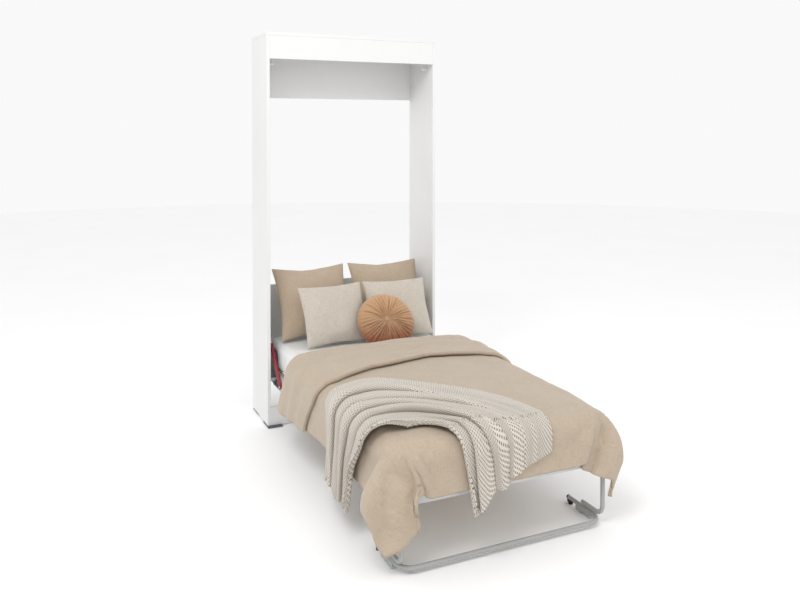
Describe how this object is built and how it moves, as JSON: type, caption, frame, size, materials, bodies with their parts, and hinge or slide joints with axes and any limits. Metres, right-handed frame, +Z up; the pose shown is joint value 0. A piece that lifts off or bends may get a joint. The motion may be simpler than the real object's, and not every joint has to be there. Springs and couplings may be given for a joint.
{
  "type": "murphy wall bed",
  "caption": "Vertical wall bed folded down from an open-backed white cabinet, with a U-shaped tube leg, gas springs, slatted frame, mattress, duvet, knitted throw and pillows.",
  "frame": {"origin": "on the floor, under the middle of the box round the whole object with the bed down", "axes": "+Z up, +Y towards the wall, the foot of the bed towards -Y, +X to the right seen from the foot"},
  "size_m": [1.1193, 2.0443, 2.2],
  "materials": {
    "white_laminate": "white melamine-faced board, satin",
    "foot_plate": "dark grey moulded plate, matt",
    "white_plastic": "white moulded plastic, satin",
    "black_steel": "black powder coat",
    "zinc_steel": "bright zinc plate",
    "frame_paint": "pale grey powder coat",
    "birch_ply": "clear-lacquered birch ply",
    "grey_paint": "mid grey powder coat, satin",
    "grey_plastic": "grey moulded plastic",
    "black_rubber": "black rubber",
    "red_paint": "deep red gloss paint",
    "bright_chrome": "polished chrome",
    "sheet_cotton": "white cotton sheet, smooth",
    "duvet_linen": "washed beige linen",
    "throw_knit": "ivory chunky knit with dark flecks",
    "tan_linen": "tan linen",
    "pale_linen": "pale oatmeal linen",
    "rust_velvet": "caramel to rust pleated velvet"
  },
  "bodies": {
    "cabinet": {"top_panel": "white_laminate", "header_board": "white_laminate", "rear_top_rail": "white_laminate", "rear_lower_board": "white_laminate", "kick_board": "white_laminate", "side_panel_left": "white_laminate", "side_panel_right": "white_laminate", "front_foot_left": "foot_plate", "front_foot_right": "foot_plate", "rear_foot_left": "foot_plate", "rear_foot_right": "foot_plate", "stop_peg_left": "white_plastic", "stop_peg_right": "white_plastic", "pivot_plate_left": "black_steel", "pivot_plate_right": "black_steel", "pivot_pin_left": "zinc_steel", "pivot_pin_right": "zinc_steel", "spring_bracket_left": "black_steel", "spring_bracket_right": "black_steel"},
    "bed": {"foot_rail": "frame_paint", "head_rail": "frame_paint", "mattress": "sheet_cotton", "slat_01": "birch_ply", "slat_02": "birch_ply", "slat_03": "birch_ply", "slat_04": "birch_ply", "slat_05": "birch_ply", "slat_06": "birch_ply", "slat_07": "birch_ply", "slat_08": "birch_ply", "slat_09": "birch_ply", "slat_10": "birch_ply", "side_rail_left": "frame_paint", "side_rail_right": "frame_paint", "arm_plate_left": "black_steel", "arm_plate_right": "black_steel", "rail_bracket_left": "zinc_steel", "rail_bracket_right": "zinc_steel", "leg_bracket_left": "grey_paint", "leg_bracket_right": "grey_paint", "leg_pin_left": "zinc_steel", "leg_pin_right": "zinc_steel", "duvet": "duvet_linen", "throw": "throw_knit", "round_cushion": "rust_velvet", "euro_pillow_left": "tan_linen", "euro_pillow_right": "tan_linen", "linen_pillow_left": "pale_linen", "linen_pillow_right": "pale_linen"},
    "leg": {"leg_base": "grey_paint", "leg_upright_left": "grey_paint", "leg_upright_right": "grey_paint", "leg_pad_left": "black_rubber", "leg_pad_right": "black_rubber", "leg_glide_left": "grey_plastic", "leg_glide_right": "grey_plastic"},
    "gas_cylinder_left": {"gas_cylinder_left": "red_paint"},
    "gas_rod_left": {"gas_rod_left": "bright_chrome"},
    "gas_cylinder_right": {"gas_cylinder_right": "red_paint"},
    "gas_rod_right": {"gas_rod_right": "bright_chrome"}
  },
  "joints": [
    {"name": "bed_fold", "type": "hinge", "parent": "cabinet", "child": "bed", "pos_m": [0, 0.7525, 0.25], "axis": [-1, 0, 0], "range_deg": [0, 90], "deforming": ["duvet", "throw", "round_cushion", "euro_pillow_left", "euro_pillow_right", "linen_pillow_left", "linen_pillow_right"]},
    {"name": "leg_fold", "type": "hinge", "parent": "bed", "child": "leg", "pos_m": [0, -0.9645, 0.243], "axis": [-1, 0, 0], "range_deg": [-80, 0]},
    {"name": "spring_tilt_left", "type": "hinge", "parent": "bed", "child": "gas_cylinder_left", "pos_m": [-0.478, 0.5875, 0.252], "axis": [-1, 0, 0], "range_deg": [-90.3, 0]},
    {"name": "spring_stroke_left", "type": "slide", "parent": "gas_cylinder_left", "child": "gas_rod_left", "axis": [0, 0.7137, 0.7004], "range_m": [-0.234, 0]},
    {"name": "spring_tilt_right", "type": "hinge", "parent": "bed", "child": "gas_cylinder_right", "pos_m": [0.478, 0.5875, 0.252], "axis": [-1, 0, 0], "range_deg": [-90.3, 0]},
    {"name": "spring_stroke_right", "type": "slide", "parent": "gas_cylinder_right", "child": "gas_rod_right", "axis": [0, 0.7137, 0.7004], "range_m": [-0.234, 0]}
  ],
  "couplings": [
    {"joint": "leg_fold", "follows": "bed_fold", "ratio": -0.88889},
    {"joint": "spring_tilt_left", "follows": "bed_fold", "ratio": -1.0014},
    {"joint": "spring_stroke_left", "follows": "bed_fold", "m_per_rad": -0.14856},
    {"joint": "spring_tilt_right", "follows": "bed_fold", "ratio": -1.0014},
    {"joint": "spring_stroke_right", "follows": "bed_fold", "m_per_rad": -0.14856}
  ]
}
